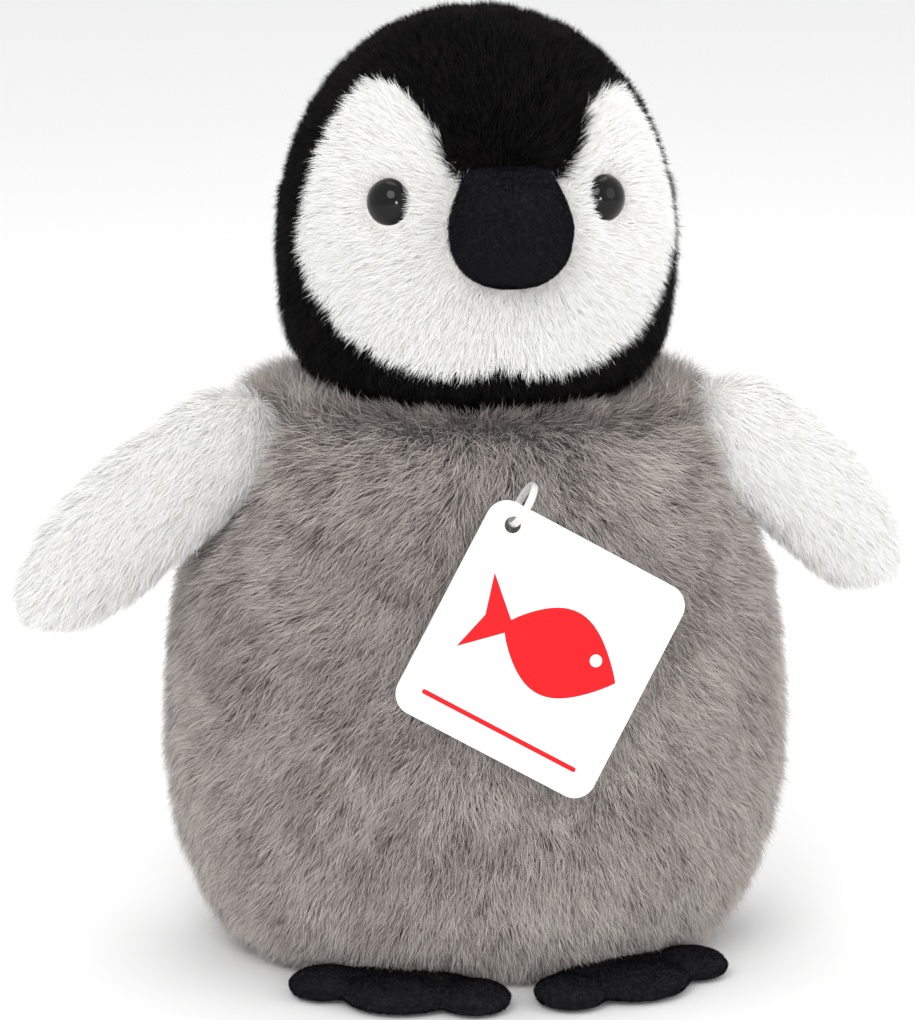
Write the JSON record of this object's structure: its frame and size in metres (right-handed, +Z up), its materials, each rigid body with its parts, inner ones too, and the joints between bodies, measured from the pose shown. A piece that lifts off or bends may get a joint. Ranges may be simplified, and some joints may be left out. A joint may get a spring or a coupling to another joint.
{
  "type": "plush penguin",
  "caption": "Stuffed plush baby penguin with long grey body pile, black and white head, soft beak, flat white wings, flat black feet and a hang tag.",
  "frame": {"origin": "centre of the footprint's bounding box, on the floor under the base", "axes": "+Z up, the toy faces -Y, its left wing is at +X"},
  "size_m": [0.1922, 0.1182, 0.1992],
  "materials": {
    "grey_pile": "matte",
    "grey_cloth": "matte",
    "black_pile": "matte",
    "white_pile": "matte",
    "black_velour": "matte",
    "wadding": "matte",
    "pellet_pouch": "matte",
    "black_gloss": "gloss",
    "clear_nylon": "satin",
    "tag_board": "satin"
  },
  "bodies": {
    "body": {"belly_panel": "grey_pile", "back_panel_left": "grey_pile", "back_panel_right": "grey_pile", "base_panel": "grey_cloth", "body_filling": "wadding", "pellet_bag": "pellet_pouch"},
    "neck": {"neck_filling": "wadding"},
    "head": {"crown_panel": "black_pile", "head_side_left": "black_pile", "head_side_right": "black_pile", "face_panel_left": "white_pile", "face_panel_right": "white_pile", "collar_band": "black_pile", "head_filling": "wadding", "beak_cover": "black_velour", "beak_filling": "wadding", "eye_left": "black_gloss", "eye_right": "black_gloss", "eye_washer_left": "clear_nylon", "eye_washer_right": "clear_nylon"},
    "tag_loop": {"tag_loop": "clear_nylon"},
    "tag_card": {"tag_card": "tag_board"},
    "wing_left_root": {"wing_left_seam": "white_pile"},
    "wing_left": {"wing_left_front_panel": "white_pile", "wing_left_back_panel": "white_pile", "wing_left_filling": "wadding"},
    "foot_left": {"foot_left_upper": "black_velour", "foot_left_sole": "black_velour", "foot_left_filling": "wadding"},
    "wing_right_root": {"wing_right_seam": "white_pile"},
    "wing_right": {"wing_right_front_panel": "white_pile", "wing_right_back_panel": "white_pile", "wing_right_filling": "wadding"},
    "foot_right": {"foot_right_upper": "black_velour", "foot_right_sole": "black_velour", "foot_right_filling": "wadding"}
  },
  "joints": [
    {"name": "head_turn", "type": "hinge", "parent": "body", "child": "neck", "pos_m": [0.00228, 0.00385, 0.1193], "axis": [0, 0, 1], "range_deg": [-20, 20], "stiffness_Nm_per_rad": 0.15},
    {"name": "head_nod", "type": "hinge", "parent": "neck", "child": "head", "pos_m": [0.00228, 0.00385, 0.1193], "axis": [1, 0, 0], "range_deg": [-8, 8], "stiffness_Nm_per_rad": 0.15},
    {"name": "wing_left_swing", "type": "hinge", "parent": "body", "child": "wing_left_root", "pos_m": [0.05178, -0.01115, 0.1145], "axis": [0, 0, -1], "range_deg": [-4, 50], "stiffness_Nm_per_rad": 0.03},
    {"name": "wing_left_lift", "type": "hinge", "parent": "wing_left_root", "child": "wing_left", "pos_m": [0.05178, -0.01115, 0.1145], "axis": [0.4384, -0.8988, 0], "range_deg": [-5, 40], "stiffness_Nm_per_rad": 0.03},
    {"name": "wing_right_swing", "type": "hinge", "parent": "body", "child": "wing_right_root", "pos_m": [-0.04722, -0.01115, 0.1145], "axis": [0, 0, 1], "range_deg": [-25, 30], "stiffness_Nm_per_rad": 0.03},
    {"name": "wing_right_lift", "type": "hinge", "parent": "wing_right_root", "child": "wing_right", "pos_m": [-0.04722, -0.01115, 0.1145], "axis": [0.0349, 0.9994, 0], "range_deg": [-5, 40], "stiffness_Nm_per_rad": 0.03},
    {"name": "foot_left_lift", "type": "hinge", "parent": "body", "child": "foot_left", "pos_m": [0.02198, -0.03097, 0.002], "axis": [-0.8704, -0.4924, 0], "range_deg": [0, 10], "stiffness_Nm_per_rad": 0.03},
    {"name": "foot_right_lift", "type": "hinge", "parent": "body", "child": "foot_right", "pos_m": [-0.01482, -0.03232, 0.002], "axis": [-0.9041, 0.4274, 0], "range_deg": [0, 10], "stiffness_Nm_per_rad": 0.03},
    {"name": "tag_swing", "type": "hinge", "parent": "body", "child": "tag_loop", "pos_m": [0.00428, -0.04939, 0.10573], "axis": [0.069, -0.9866, 0.1478], "range_deg": [-60, 60]},
    {"name": "tag_lift", "type": "hinge", "parent": "tag_loop", "child": "tag_card", "pos_m": [0.00428, -0.04939, 0.10573], "axis": [-0.8691, 0.0133, 0.4945], "range_deg": [0, 90]}
  ]
}
